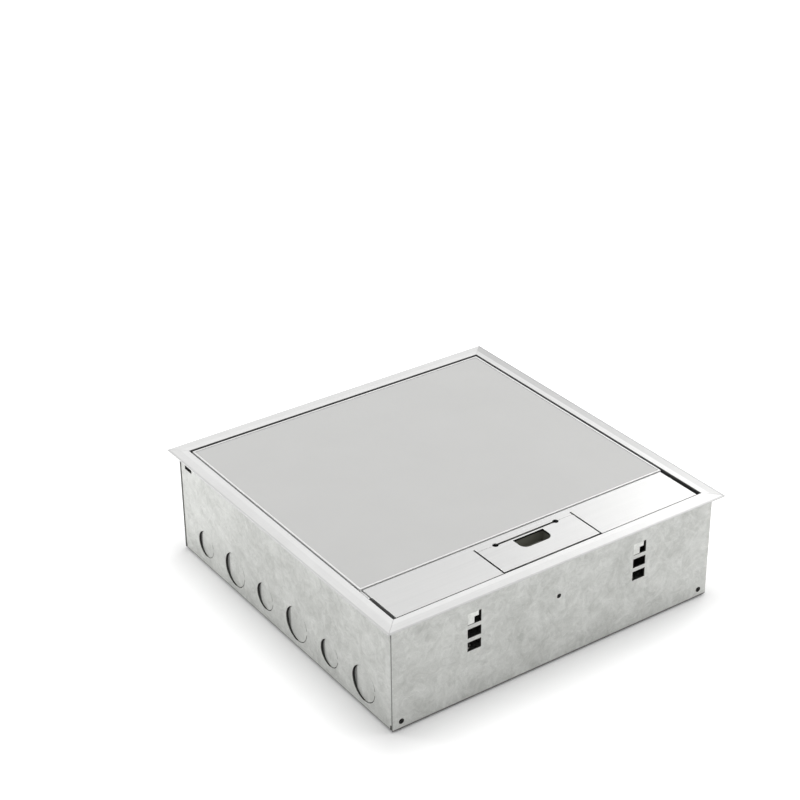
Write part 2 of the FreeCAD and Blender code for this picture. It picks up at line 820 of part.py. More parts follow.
def twin_socket():
    """Two three-pin outlets in one body, face up."""
    x = -column_offset
    low = plate_top - outlet_body_depth
    body = block(x - outlet_body_width / 2, x + outlet_body_width / 2, outlet_offset - outlet_body_length / 2,
                 outlet_offset + outlet_body_length / 2, low, plate_top)
    shape = outlet_face(x).fuse(body)
    cuts = []
    floor = outlet_top - pin_slot_depth
    for end in (-1, 1):
        y = outlet_offset + end * outlet_pitch / 2
        earth_x = x - pin_spacing / 2
        cuts.append(block(earth_x - earth_slot_length / 2, earth_x + earth_slot_length / 2,
                          y - pin_slot_width / 2, y + pin_slot_width / 2, floor, outlet_top + 1))
        live_x = x + pin_spacing / 2
        for hand in (-1, 1):
            pin_y = y + hand * pin_spacing / 2
            cuts.append(block(live_x - pin_slot_width / 2, live_x + pin_slot_width / 2,
                              pin_y - pin_slot_length / 2, pin_y + pin_slot_length / 2,
                              floor, outlet_top + 1))
    return shape.cut(Part.makeCompound(cuts))


def jack_spots():
    """Y of each data jack."""
    return [outlet_offset + (index - (jack_count - 1) / 2) * jack_pitch for index in range(jack_count)]


def data_frame():
    """Plastic face that carries the data jacks."""
    x = column_offset
    shape = outlet_face(x)
    half_x = jack_width / 2 + seat_clearance
    half_y = jack_depth / 2 + seat_clearance
    cuts = []
    sleeves = []
    for y in jack_spots():
        sleeves.append(block(x - half_x - jack_sleeve, x + half_x + jack_sleeve, y - half_y - jack_sleeve,
                             y + half_y + jack_sleeve, plate_top - jack_sleeve_depth, plate_top))
        cuts.append(block(x - half_x, x + half_x, y - half_y, y + half_y,
                          plate_top - jack_sleeve_depth - 1, outlet_top + 1))
    return shape.fuse(sleeves).cut(Part.makeCompound(cuts))


def data_jack(y):
    """One data jack, port upwards."""
    x = column_offset
    shape = block(x - jack_width / 2, x + jack_width / 2, y - jack_depth / 2, y + jack_depth / 2,
                  outlet_top - jack_height, outlet_top)
    port = block(x - port_width / 2, x + port_width / 2, y - port_depth / 2, y + port_depth / 2,
                 outlet_top - port_height, outlet_top + 1)
    return shape.cut(port)


def divider():
    """Upright sheet between the power side and the data side."""
    y = inner_y - sheet
    web_low = sheet + sheet
    web = block(divider_offset, divider_offset + sheet, -y, y, sheet, divider_height)
    foot_y = y - 2
    foot = block(divider_offset - divider_foot, divider_offset, -foot_y, foot_y, sheet, web_low)
    shape = web.fuse(foot)
    low = sheet + end_flange + 1
    for end in (-1, 1):
        flange = block(divider_offset + sheet - divider_flange, divider_offset + sheet, end * y,
                       end * inner_y, low, divider_height)
        shape = shape.fuse(flange)
    cuts = [rod(middle_hole / 2, (0, -inner_y - 1, middle_hole_height), (0, inner_y + 1, middle_hole_height))]
    for y_rivet in (-rivet_offset, rivet_offset):
        cuts.append(rod(rivet / 2 + screw_clearance, (divider_x(), y_rivet, 0), (divider_x(), y_rivet, 5)))
    return shape.cut(Part.makeCompound(cuts))


def rivet_solid(y):
    """Domed rivet through the divider's foot and the base."""
    seat = 2 * sheet
    shank = rod(rivet / 2, (divider_x(), y, 0), (divider_x(), y, seat))
    head = rod(rivet_head / 2, (divider_x(), y, seat), (divider_x(), y, seat + rivet_head_height))
    rim = [edge for edge in head.Edges if edge.Vertexes[0].Point.z > seat + 0.01 and edge.Closed]
    return shank.fuse(head.makeFillet(rivet_head_height * 0.7, rim))


def stud_spot():
    return -(inner_x - stud_inset), -stud_setback


def earth_stud():
    """Threaded stud welded to the base."""
    x, y = stud_spot()
    flange = rod(stud_flange / 2, (x, y, sheet), (x, y, sheet + stud_flange_height))
    return flange.fuse(rod(stud / 2, (x, y, sheet), (x, y, sheet + stud_length)))


def hexagon(x, y, low, high, flats):
    radius = flats / math.sqrt(3)
    points = []
    for step in range(6):
        angle = math.radians(60 * step)
        points.append((x + radius * math.cos(angle), y + radius * math.sin(angle), low))
    return prism(points, (0, 0, high - low))


def earth_nuts():
    """Two nuts with a washer between them, on the earth stud."""
    x, y = stud_spot()
    low = sheet + stud_flange_height
    hole = rod(stud / 2 + screw_clearance, (x, y, low - 1), (x, y, low + stud_length))
    first = hexagon(x, y, low, low + nut_height, nut_flats)
    washer_low = low + nut_height
    washer = rod(washer_outer / 2, (x, y, washer_low), (x, y, washer_low + washer_thickness))
    second_low = washer_low + washer_thickness
    second = hexagon(x, y, second_low, second_low + nut_height, nut_flats)
    return [first.cut(hole), washer.cut(hole), second.cut(hole)]


def build():
    """Makes every sub-part and writes its file."""
    os.makedirs("parts", exist_ok=True)
    save("body_tray", body_tray())
    save("front_wall", front_wall())
    save("rear_wall", turned(front_wall()))
    save("trim_front", trim_screw_holes(trim_member(open_x, open_y, True), -1))
    save("trim_rear", trim_screw_holes(turned(trim_member(open_x, open_y, False)), 1))
    save("trim_left", trim_side(-1))
    save("trim_right", trim_side(1))
    corners = [(side, end) for side in (-1, 1) for end in (-1, 1)]
    save("trim_corner_keys", [corner_key(side, end) for side, end in corners])
    save("trim_screws", [trim_screw(side, end, 0) for side, end in corners])
    save("trim_clips", [trim_clip(-1), trim_clip(1)])
    save("lid_seal", [seal_strip(-1), seal_strip(1)])
    save("latch_catch", catch_plate())
    save("lid_tray", lid_tray())
    save("lid_core", lid_core())
    save("lid_cover", lid_cover())
    save("lid_hinge_blocks", [hinge_block(-1), hinge_block(1)])
    save("lid_hinge_pins", [hinge_pin_solid(-1), hinge_pin_solid(1)])
    save("flap_hinge_pins", [flap_pin_solid(-1), flap_pin_solid(1)])
    save("cable_flap", cable_flap())
    save("flap_pads", [flap_pad(-1), flap_pad(1)])
    save("latch_tongue", latch_tongue())
    save("latch_hook", latch_hook())
    save("finger_cup", finger_cup())
    columns = (-column_offset, column_offset)
    save("front_hangers", [hanger(x) for x in columns])
    save("rear_hangers", [turned(hanger(x)) for x in columns])
    save("power_plate", accessory_plate(-1))
    save("data_plate", accessory_plate(1))
    screws = [plate_screw_solid(x, end * plate_screw_y) for x in columns for end in (-1, 1)]
    save("plate_screws", screws)
    save("power_outlet", twin_socket())
    save("data_frame", data_frame())
    save("data_jacks", [data_jack(y) for y in jack_spots()])
    rows = [outlet_offset + end * outlet_screw_pitch / 2 for end in (-1, 1)]
    save("outlet_screws", [outlet_screw_solid(x, y) for x in columns for y in rows])
    save("divider", divider())
    save("divider_rivets", [rivet_solid(-rivet_offset), rivet_solid(rivet_offset)])
    save("earth_stud", earth_stud())
    save("earth_nuts", earth_nuts())


build()
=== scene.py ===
import math

import bpy
import numpy as np
from bpy.props import FloatProperty, FloatVectorProperty, IntProperty, PointerProperty
from mathutils import Matrix, Vector


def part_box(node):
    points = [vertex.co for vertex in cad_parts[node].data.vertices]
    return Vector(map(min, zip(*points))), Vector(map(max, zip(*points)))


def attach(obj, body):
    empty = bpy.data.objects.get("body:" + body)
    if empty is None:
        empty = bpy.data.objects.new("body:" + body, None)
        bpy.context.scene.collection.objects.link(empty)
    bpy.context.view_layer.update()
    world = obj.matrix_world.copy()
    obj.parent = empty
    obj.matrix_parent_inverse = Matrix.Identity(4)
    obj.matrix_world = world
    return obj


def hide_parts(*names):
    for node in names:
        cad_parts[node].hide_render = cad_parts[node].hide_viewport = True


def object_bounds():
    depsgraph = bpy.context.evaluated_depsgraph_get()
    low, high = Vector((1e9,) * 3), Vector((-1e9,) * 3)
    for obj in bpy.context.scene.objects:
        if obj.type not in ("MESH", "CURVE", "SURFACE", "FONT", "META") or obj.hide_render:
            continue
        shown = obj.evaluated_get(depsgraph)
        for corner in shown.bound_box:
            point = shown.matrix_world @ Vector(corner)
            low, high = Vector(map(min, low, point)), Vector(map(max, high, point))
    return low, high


bl_info = {
    "name": "Floor socket box looks",
    "version": (1, 0, 0),
    "blender": (4, 5, 0),
    "location": "View3D > Sidebar > Floor box",
    "description": "Finishes, foam strips, contacts and stage of a floor socket box",
    "category": "Object",
}

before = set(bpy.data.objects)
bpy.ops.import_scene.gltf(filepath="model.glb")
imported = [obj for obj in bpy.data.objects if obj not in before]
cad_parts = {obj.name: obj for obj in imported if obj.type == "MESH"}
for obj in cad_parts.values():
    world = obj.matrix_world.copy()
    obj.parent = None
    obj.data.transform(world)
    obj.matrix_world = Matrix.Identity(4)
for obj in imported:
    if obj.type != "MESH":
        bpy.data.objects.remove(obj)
cad_low, cad_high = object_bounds()
SHEET = 0.0012              # thickness of the body's sheet
SHEET_FACE = 0.006          # from the trim's edge in to the sheet's outer face
OPENING = 0.0115            # from the trim's edge in to the opening
KNOCKOUT_PITCH = 0.040      # between the middles of two knock-outs
KNOCKOUT_TOP = 0.036        # just above the knock-outs
# The softenings below take part of the painted shade off the cut edges.
GROOVE_SOFTENING = 0.8      # how much of the dark a knock-out's level half loses
UPRIGHT_SOFTENING = 0.25    # the same for the front wall's upright edges, below the trim
UNDER_TRIM = (0.071, 0.073) # heights between which that softening ends
# Painted contact shadow along the foot of each wall.
FOOT_SHADOW = (0.0014, 0.0021)    # heights between which the dark foot of a wall ends
# Painted shade over the zinc inside the box.
INSIDE_SHADE = 0.42          # tone of the zinc inside the box
# Painted shade in the slits and gaps of the tongue.
CUT_SHADE = 0.05             # tone of the walls of a narrow cut
TONGUE_FRONT = 0.003        # depth of the tongue's front that stays bright
TRIM_SLOPE = (0.0042, 0.0050)   # from the opening out to where the trim's slope begins
TRIM_LIP = (0.0016, 0.0009)     # from the trim's edge in to where its lip begins
TRIM_LEG = 0.00031          # depth of the trim's inner leg from the opening
TRIM_LEG_TOP = 0.00003      # from the trim's top down to its inner leg
CONTACT_ROW = 0.0102        # length of a jack's row of contacts
# Just outside the inner face of the body's sheet, from the middle of the box.
INNER_FACE = cad_high[0] - SHEET_FACE - SHEET + 0.00005


# Side, tint factor that paints light or shade on that side, drawn axis, seed, and tones of painted shade on
# the slope, the lip and, if not the usual, the leg.
TRIM_PAINTED_LIGHT = (
    ("front", 1.07, "X", 0.3, (0.9, 0.78)),
    ("rear", 1.08, "X", 2.3, (0.95, 0.94)),
    ("right", 0.97, "Y", 0.9, (0.74, 0.62)),
    ("left", 1.06, "Y", 1.7, (0.95, 0.82, 0.72)),
)


# ------------------------------------------------------------------ settings

def colour(name, text, value):
    return FloatVectorProperty(name=name, description=text, default=value, subtype="COLOR",
                               size=3, min=0.0, max=1.0)


def amount(name, text, value):
    return FloatProperty(name=name, description=text, default=value, min=0.0, max=1.0,
                         subtype="FACTOR")


def length(name, text, value):
    return FloatProperty(name=name, description=text, default=value, unit="LENGTH",
                         subtype="DISTANCE", precision=4)


class FinishSettings(bpy.types.PropertyGroup):
    """Colours and roughness of the box's finishes."""
    zinc_dark: colour("Zinc, dark", "Darker crystals of the galvanised sheet", (0.405, 0.413, 0.392))
    zinc_light: colour("Zinc, light", "Lighter crystals of the galvanised sheet", (0.73, 0.738, 0.715))
    zinc_roughness: amount("Zinc roughness", "Mean roughness of the galvanised sheet", 0.42)
    # Painted shade for the sheet's cut edges, knock-out grooves and holes, partly the bare steel of those
    # edges, and the painted contact shadow at a wall's foot.
    sheared_edge_shade: colour("Sheared edge", "Bare cut edges of the sheet", (0.085, 0.085, 0.08))
    trim_colour: colour("Trim", "Satin anodised trim", (0.74, 0.74, 0.735))
    trim_roughness: amount("Trim roughness", "Roughness of the trim", 0.38)
    cover_colour: colour("Cover", "Flat cover plate in the lid", (0.605, 0.605, 0.595))
    steel_colour: colour("Stainless", "Brushed stainless flap and tongue", (0.67, 0.67, 0.665))
    steel_roughness: amount("Stainless roughness", "Roughness of the brushed steel", 0.34)
    plastic_white: colour("White plastic", "Outlet faces", (0.80, 0.80, 0.77))
    plastic_dark: colour("Dark plastic", "Finger cup", (0.20, 0.20, 0.17))
    foam_colour: colour("Foam", "Closed-cell foam strips", (0.035, 0.035, 0.037))
    brass_colour: colour("Brass", "Earth stud and nuts", (0.72, 0.52, 0.22))


class ShapeSettings(bpy.types.PropertyGroup):
    """Sizes of the pieces made here."""
    foam_round: length("Foam rounding", "Radius of the foam strips' edges", 0.0006)
    crystal: length("Zinc crystal", "Typical width of a crystal in the zinc", 0.008)
    thread_pitch: length("Thread pitch", "Pitch of the earth stud's thread", 0.0007)
    thread_depth: length("Thread depth", "Depth of the earth stud's thread", 0.00035)
    contact_width: length("Contact width", "Width of one spring contact in a data jack", 0.0006)
    contact_count: IntProperty(name="Contacts", description="Spring contacts in each data jack",
                               default=8, min=2, max=10)


class StageSettings(bpy.types.PropertyGroup):
    """Camera, floor and light."""
    azimuth: FloatProperty(name="Azimuth", description="Camera's way round the box", unit="ROTATION",
                           default=math.radians(-34.569))
    elevation: FloatProperty(name="Elevation", description="Camera's height angle", unit="ROTATION",
                             default=math.radians(28.559))
    roll: FloatProperty(name="Roll", description="Camera's tilt about its own line", unit="ROTATION",
                        default=math.radians(-0.653))
    lens: FloatProperty(name="Lens", description="Focal length in millimetres", default=85.96)
    position: FloatVectorProperty(name="Position", description="Camera's place", size=3,
                                  subtype="TRANSLATION", default=(-0.6665, -0.9200, 0.7562))
    fill: amount("Fill", "Strength of the even light from all round", 0.42)
    top_power: FloatProperty(name="Top lamp", description="Strength of the wide lamp overhead",
                             default=1.1)
    side_power: FloatProperty(name="Side lamp", description="Power of the lamp on the right in watts",
                              default=7.0)
    back_power: FloatProperty(name="Back lamp", default=2.1,
                              description="Power of the lamp behind on the left in watts")
    front_power: FloatProperty(name="Front lamp", default=2.0,
                               description="Power of the lamp in front on the right in watts")
    floor_glow: amount("Floor glow", "Whiteness added to the floor where the camera or metal sees it", 0.36)
    # Less glow near the box paints a shadow on the floor, over the real one from the lamps.
    painted_shadow_glow: amount("Foot glow", "The same close to the box, where its shadow lies", 0.05)
    painted_shadow_reach: length("Glow reach", "Distance from the box at which the floor is fully white", 0.032)
    floor_size: length("Floor size", "Side of the square floor", 8.0)
    floor_colour: colour("Floor", "Plain pale floor", (0.93, 0.93, 0.93))


# ------------------------------------------------------------------ node helpers

def fresh_material(name):
    """An empty node material with a Principled shader on its output."""
    material = bpy.data.materials.new(name)
    material.use_nodes = True
    tree = material.node_tree
    tree.nodes.clear()
    shader = tree.nodes.new("ShaderNodeBsdfPrincipled")
    output = tree.nodes.new("ShaderNodeOutputMaterial")
    tree.links.new(shader.outputs["BSDF"], output.inputs["Surface"])
    return material, tree, shader


def make(tree, kind, inputs=None, **attributes):
    """A node with its attributes set, and its input sockets set or linked."""
    item = tree.nodes.new(kind)
    for key, value in attributes.items():
        setattr(item, key, value)
    for key, value in (inputs or {}).items():
        if isinstance(value, bpy.types.NodeSocket):
            tree.links.new(value, item.inputs[key])
        else:
            item.inputs[key].default_value = value
    return item


def object_coords(tree, scale=(1.0, 1.0, 1.0), turn=(0.0, 0.0, 0.0)):
    """Object coordinates, stretched and turned."""
    source = make(tree, "ShaderNodeTexCoord")
    mapping = make(tree, "ShaderNodeMapping",
                   {"Vector": source.outputs["Object"], "Scale": scale, "Rotation": turn})
    return mapping.outputs["Vector"]


def noise(tree, vector, scale, detail=3.0, rough=0.5, distortion=0.0):
    item = make(tree, "ShaderNodeTexNoise", {"Vector": vector, "Scale": scale, "Detail": detail,
                                             "Roughness": rough, "Distortion": distortion})
    return item.outputs["Fac"]


def spread(tree, value, low, high, start=0.0, end=1.0):
    """Maps a value from one range to another, held at both ends."""
    item = make(tree, "ShaderNodeMapRange", {"Value": value, "From Min": start, "From Max": end,
                                             "To Min": low, "To Max": high})
    return item.outputs["Result"]


def calculate(tree, operation, first, second):
    return make(tree, "ShaderNodeMath", {0: first, 1: second}, operation=operation).outputs[0]


def blend_colours(tree, factor, first, second, kind="MIX"):
    item = make(tree, "ShaderNodeMix", {0: factor}, data_type="RGBA", blend_type=kind)
    for socket, value in ((item.inputs[6], first), (item.inputs[7], second)):
        if isinstance(value, bpy.types.NodeSocket):
            tree.links.new(value, socket)
        else:
            socket.default_value = value
    return item.outputs[2]


def rgba(values, factor=1.0):
    return tuple(min(1.0, channel * factor) for channel in values) + (1.0,)


def place_on_piece(tree):
    """X, Y and Z on the piece itself."""
    place = make(tree, "ShaderNodeTexCoord").outputs["Object"]
    return make(tree, "ShaderNodeSeparateXYZ", {0: place}).outputs


def facing_on_piece(tree):
    """X, Y and Z of the true normal, which stay with the piece when it moves."""
    facing = make(tree, "ShaderNodeNewGeometry").outputs["True Normal"]
    facing = make(tree, "ShaderNodeVectorTransform", {0: facing}, vector_type="NORMAL",
                  convert_from="WORLD", convert_to="OBJECT")
    return make(tree, "ShaderNodeSeparateXYZ", {0: facing.outputs[0]}).outputs


def size_of(tree, value):
    return calculate(tree, "ABSOLUTE", value, 0.0)


def relief(tree, shader, height, strength, distance, edge=0.0003):
    """Bump over normals that are rounded at the edges."""
    soft = make(tree, "ShaderNodeBevel", {"Radius": edge}, samples=4)
    bump = make(tree, "ShaderNodeBump", {"Height": height, "Strength": strength,
                                         "Distance": distance, "Normal": soft.outputs["Normal"]})
    tree.links.new(bump.outputs["Normal"], shader.inputs["Normal"])


# ------------------------------------------------------------------ finishes

def galvanised(name, finish, crystal, seed, shade, masks):
    """Zinc coat: small warped crystals, fine veins between them, soft clouds and a grain.
    Painted shade darkens cut edges of the outer sheet, partly for their bare steel, and paints a contact
    shadow at its foot; painted shade also dulls the inside."""
    material, tree, shader = fresh_material(name)
    base = object_coords(tree, turn=(0.35 * seed, 0.21 * seed, 0.57 * seed))
    warp = make(tree, "ShaderNodeTexNoise", {"Vector": base, "Scale": 0.9 / crystal, "Detail": 3.0})
    moved = make(tree, "ShaderNodeVectorMath",
                 {0: warp.outputs["Color"], 1: (crystal * 2.4,) * 3, 2: base},
                 operation="MULTIPLY_ADD")
    cells = make(tree, "ShaderNodeTexVoronoi", {"Vector": moved.outputs[0], "Scale": 1.1 / crystal})
    parts = make(tree, "ShaderNodeSeparateColor", {"Color": cells.outputs["Color"]})
    small = make(tree, "ShaderNodeTexVoronoi", {"Vector": moved.outputs[0], "Scale": 3.1 / crystal})
    small_parts = make(tree, "ShaderNodeSeparateColor", {"Color": small.outputs["Color"]})
    veins = make(tree, "ShaderNodeTexVoronoi", {"Vector": moved.outputs[0], "Scale": 1.1 / crystal},
                 feature="DISTANCE_TO_EDGE")
    cloud = noise(tree, base, 0.22 / crystal, 6.0, 0.62, 0.9)
    wisps = noise(tree, base, 0.7 / crystal, 5.0, 0.7, 2.2)
    grain = noise(tree, base, 9.0 / crystal, 3.0, 0.7)
    tone = calculate(tree, "MULTIPLY", parts.outputs[0], 0.16)
    tone = calculate(tree, "ADD", tone, calculate(tree, "MULTIPLY", small_parts.outputs[1], 0.07))
    tone = calculate(tree, "ADD", tone, spread(tree, cloud, 0.0, 0.34, 0.32, 0.68))
    tone = calculate(tree, "ADD", tone, spread(tree, wisps, 0.0, 0.34, 0.34, 0.66))
    tone = calculate(tree, "ADD", tone, spread(tree, grain, -0.07, 0.07, 0.3, 0.7))
    tone = calculate(tree, "ADD", tone, spread(tree, veins.outputs["Distance"], 0.09, 0.0, 0.0, 0.06))
    colours = blend_colours(tree, tone, rgba(finish.zinc_dark, shade), rgba(finish.zinc_light, shade))
    edge, inside = masks(tree)
    # Painted shade over the inside of the box.
    colours = blend_colours(tree, inside, colours, rgba((INSIDE_SHADE,) * 3), "MULTIPLY")
    # Painted shade on cut edges and painted contact shadow at the foot, in the colour of bare edges.
    colours = blend_colours(tree, edge, colours, rgba(finish.sheared_edge_shade))
    tree.links.new(colours, shader.inputs["Base Color"])
    shader.inputs["Metallic"].default_value = 0.55
    mean = finish.zinc_roughness
    tree.links.new(spread(tree, parts.outputs[1], mean - 0.06, mean + 0.08), shader.inputs["Roughness"])
    height = calculate(tree, "ADD", parts.outputs[2], calculate(tree, "MULTIPLY", grain, 0.6))
    relief(tree, shader, height, 0.12, 0.00006)
    return material


def cut_edge_shade(tree, place, facing, axis):
    """Where painted shade goes: 1 in the thickness of the walls square to one axis, where the normal runs
    along the wall.
    """
    in_sheet = calculate(tree, "GREATER_THAN", size_of(tree, place[axis]), INNER_FACE)
    along = spread(tree, size_of(tree, facing[axis]), 1.0, 0.0, 0.3, 0.5)
    return calculate(tree, "MULTIPLY", in_sheet, along)


def foot_shadow(tree, place):
    """Painted contact shadow over the lowest millimetre and a half of a wall, where the underside's bend
    begins.
    """
    return spread(tree, place[2], 1.0, 0.0, *FOOT_SHADOW)


def tray_masks(tree):
    """Painted shade on the cut edges of the side walls, a painted contact shadow at their foot, and painted
    shade over the inside of the tray.
    The front half of each knock-out's groove gets less painted shade, because its disc is level there."""
    place, facing = place_on_piece(tree), facing_on_piece(tree)
    edge = cut_edge_shade(tree, place, facing, 0)
    step = calculate(tree, "FRACT", calculate(tree, "DIVIDE", place[1], KNOCKOUT_PITCH), 0.0)
    level = calculate(tree, "LESS_THAN", step, 0.5)
    level = calculate(tree, "MULTIPLY", level, calculate(tree, "LESS_THAN", place[2], KNOCKOUT_TOP))
    soften = calculate(tree, "MULTIPLY", level, GROOVE_SOFTENING)
    edge = calculate(tree, "MULTIPLY", edge, calculate(tree, "SUBTRACT", 1.0, soften))
    deep = calculate(tree, "LESS_THAN", size_of(tree, place[0]), INNER_FACE)
    above = calculate(tree, "GREATER_THAN", place[2], SHEET * 0.5)
    return (calculate(tree, "MAXIMUM", edge, foot_shadow(tree, place)),
            calculate(tree, "MULTIPLY", deep, above))


def inner_masks(tree):
    """No painted edge shade, and painted shade where a piece is inside the box."""
    place = place_on_piece(tree)
    deep = calculate(tree, "MAXIMUM", size_of(tree, place[0]), size_of(tree, place[1]))
    return 0.0, calculate(tree, "LESS_THAN", deep, INNER_FACE)


def end_wall_masks(tree):
    """Painted shade on the cut edges of an end wall, by the trim and in the holes, less of it down its
    upright edges, a painted contact shadow at its foot, and painted shade over its inside.
    """
    place, facing = place_on_piece(tree), facing_on_piece(tree)
    edge = cut_edge_shade(tree, place, facing, 1)
    upright = calculate(tree, "GREATER_THAN", size_of(tree, place[0]),
                        cad_high[0] - SHEET_FACE - 0.0002)
    front = calculate(tree, "LESS_THAN", place[1], 0.0)
    low = spread(tree, place[2], UPRIGHT_SOFTENING, 0.0, *UNDER_TRIM)
    soften = calculate(tree, "MULTIPLY", calculate(tree, "MULTIPLY", upright, front), low)
    edge = calculate(tree, "MULTIPLY", edge, calculate(tree, "SUBTRACT", 1.0, soften))
    deep = calculate(tree, "LESS_THAN", size_of(tree, place[1]), INNER_FACE)
    return calculate(tree, "MAXIMUM", edge, foot_shadow(tree, place)), deep


def brushed(name, tint, roughness, along, seed=0.0, metallic=1.0, streak=0.05, grain=0.5):
    """Fine lines along one axis: noise stretched hundreds of times along it."""
    material, tree, shader = fresh_material(name)
    stretch = [1500.0, 1500.0, 1500.0]
    stretch["XYZ".index(along)] = 9.0
    lines_at = object_coords(tree, tuple(stretch))
    lines = noise(tree, lines_at, 1.0, 3.0, 0.6)
    wide = [260.0, 260.0, 260.0]
    wide["XYZ".index(along)] = 2.5
    bands = noise(tree, object_coords(tree, tuple(wide)), 1.0, 2.0)
    cloud = noise(tree, object_coords(tree, turn=(seed, 0.4, 0.2)), 14.0, 4.0)
    mark = calculate(tree, "ADD", calculate(tree, "MULTIPLY", lines, 0.6),
                     calculate(tree, "MULTIPLY", bands, 0.4))
    tone = calculate(tree, "ADD", calculate(tree, "MULTIPLY", mark, 0.7),
                     calculate(tree, "MULTIPLY", cloud, 0.3))
    colours = blend_colours(tree, spread(tree, tone, 0.0, 1.0, 0.32, 0.68), rgba(tint, 1.0 - streak),
                            rgba(tint, 1.0 + streak))
    tree.links.new(colours, shader.inputs["Base Color"])
    shader.inputs["Metallic"].default_value = metallic
    tree.links.new(spread(tree, mark, roughness - 0.05, roughness + 0.07, 0.35, 0.65),
                   shader.inputs["Roughness"])
    relief(tree, shader, lines, 0.12 * grain, 0.00005)
    return material


def dark_cuts(material, behind):
    """Painted shade on upright cut faces of a sheet behind a given place along Y, as falls in a narrow slot.
    """
    tree = material.node_tree
    shader = next(item for item in tree.nodes if item.type == "BSDF_PRINCIPLED")
    place, facing = place_on_piece(tree), facing_on_piece(tree)
    upright = spread(tree, size_of(tree, facing[2]), 1.0, 0.0, 0.2, 0.5)
    inner = calculate(tree, "MULTIPLY", upright, calculate(tree, "GREATER_THAN", place[1], behind))
    colours = shader.inputs["Base Color"].links[0].from_socket
    colours = blend_colours(tree, inner, colours, rgba((CUT_SHADE,) * 3))
    tree.links.new(colours, shader.inputs["Base Color"])


def satin_trim(name, tint, roughness, along, seed, slope_shade, lip_shade, leg_shade=0.10):
    """Satin anodised metal with fine drawn lines, painted shade on the slope and lip, and painted shade on
    the inner leg in the gap.
    """
    material, tree, shader = fresh_material(name)
    stretch = [1300.0, 1300.0, 1300.0]
    stretch["XYZ".index(along)] = 14.0
    lines = noise(tree, object_coords(tree, tuple(stretch)), 1.0, 3.0, 0.6)
    cloud = noise(tree, object_coords(tree, turn=(seed, 0.3, 0.1)), 30.0, 5.0, 0.6)
    rubs = noise(tree, object_coords(tree, turn=(seed, 0.7, 0.4)), 260.0, 4.0, 0.7)
    tone = calculate(tree, "ADD", calculate(tree, "MULTIPLY", lines, 0.35),
                     calculate(tree, "MULTIPLY", cloud, 0.4))
    tone = calculate(tree, "ADD", tone, calculate(tree, "MULTIPLY", rubs, 0.25))
    colours = blend_colours(tree, spread(tree, tone, 0.0, 1.0, 0.36, 0.64),
                            rgba(tint, 0.955), rgba(tint, 1.045))
    place = place_on_piece(tree)
    away = calculate(tree, "MAXIMUM", size_of(tree, place[0]), size_of(tree, place[1]))
    opening = cad_high[0] - OPENING
    slope = spread(tree, away, 0.0, 1.0, opening + TRIM_SLOPE[0], opening + TRIM_SLOPE[1])
    lip = spread(tree, away, 0.0, 1.0, cad_high[0] - TRIM_LIP[0], cad_high[0] - TRIM_LIP[1])
    # Painted shade on the slope and the lip, set per side for how light falls on them.
    colours = blend_colours(tree, slope, colours, rgba((slope_shade,) * 3), "MULTIPLY")
    colours = blend_colours(tree, lip, colours, rgba((lip_shade,) * 3), "MULTIPLY")
    # Painted shade on the trim's inner leg, where the gap lies in shadow.
    leg = calculate(tree, "LESS_THAN", away, opening + TRIM_LEG)
    below = calculate(tree, "LESS_THAN", place[2], cad_high[2] - TRIM_LEG_TOP)
    colours = blend_colours(tree, calculate(tree, "MULTIPLY", leg, below), colours, rgba((leg_shade,) * 3))
    tree.links.new(colours, shader.inputs["Base Color"])
    shader.inputs["Metallic"].default_value = 0.55
    tree.links.new(spread(tree, lines, roughness - 0.04, roughness + 0.05, 0.35, 0.65),
                   shader.inputs["Roughness"])
    relief(tree, shader, lines, 0.05, 0.00004)
    return material


def matt_plate(name, tint, roughness=0.55):
    """Flat matt coat with a faint mottle and a fine tooth."""
    material, tree, shader = fresh_material(name)
    coords = object_coords(tree)
    mottle = noise(tree, coords, 22.0, 5.0, 0.6)
    tooth = noise(tree, coords, 2600.0, 2.0)
    tone = calculate(tree, "ADD", calculate(tree, "MULTIPLY", mottle, 0.6),
                     calculate(tree, "MULTIPLY", tooth, 0.4))
    colours = blend_colours(tree, spread(tree, tone, 0.0, 1.0, 0.35, 0.65), rgba(tint, 0.982),
                            rgba(tint, 1.018))
    tree.links.new(colours, shader.inputs["Base Color"])
    tree.links.new(spread(tree, tooth, roughness - 0.05, roughness + 0.05, 0.3, 0.7),
                   shader.inputs["Roughness"])
    relief(tree, shader, tooth, 0.10, 0.00006)
    return material


def moulded(name, tint, roughness, tooth_scale=1400.0, strength=0.08):
    """Moulded plastic: even colour with a slight cloud and a spark-eroded tooth."""
    material, tree, shader = fresh_material(name)
    coords = object_coords(tree)
    cloud = noise(tree, coords, 35.0, 3.0)
    tooth = noise(tree, coords, tooth_scale, 3.0)
    colours = blend_colours(tree, spread(tree, cloud, 0.0, 1.0, 0.35, 0.65),
                            rgba(tint, 0.94), rgba(tint, 1.05))
    tree.links.new(colours, shader.inputs["Base Color"])
    tree.links.new(spread(tree, tooth, roughness - 0.06, roughness + 0.06, 0.3, 0.7),
                   shader.inputs["Roughness"])
    relief(tree, shader, tooth, strength, 0.00008)
    return material


